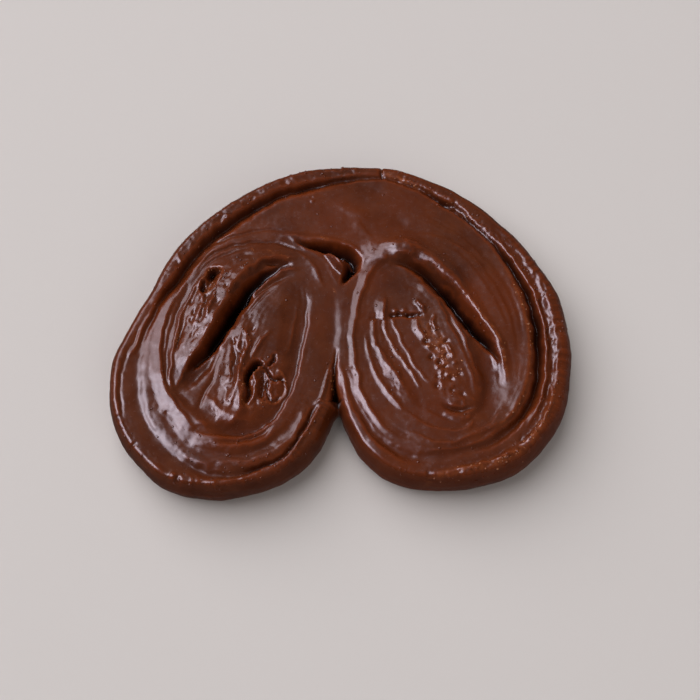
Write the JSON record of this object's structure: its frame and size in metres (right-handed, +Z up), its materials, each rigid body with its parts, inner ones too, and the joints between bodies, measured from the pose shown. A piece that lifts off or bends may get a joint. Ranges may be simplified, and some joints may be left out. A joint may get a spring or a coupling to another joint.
{
  "type": "palmier pastry",
  "caption": "Flat heart-shaped puff pastry of coiled lobes joined by a closed band, coated all over in dark chocolate, lying on its base",
  "frame": {"origin": "bottom centre of the bounding box, on the surface that the pastry lies on", "axes": "+X from the left lobe to the right lobe, +Y from the notch to the closed band, +Z up out of the swirled face"},
  "size_m": [0.1178, 0.0908, 0.0139],
  "materials": {
    "chocolate_coat": "dark chocolate coat with a soft gloss, smooth on the crests and rougher in the folds"
  },
  "bodies": {
    "root": {"palmier": "chocolate_coat"}
  },
  "joints": []
}
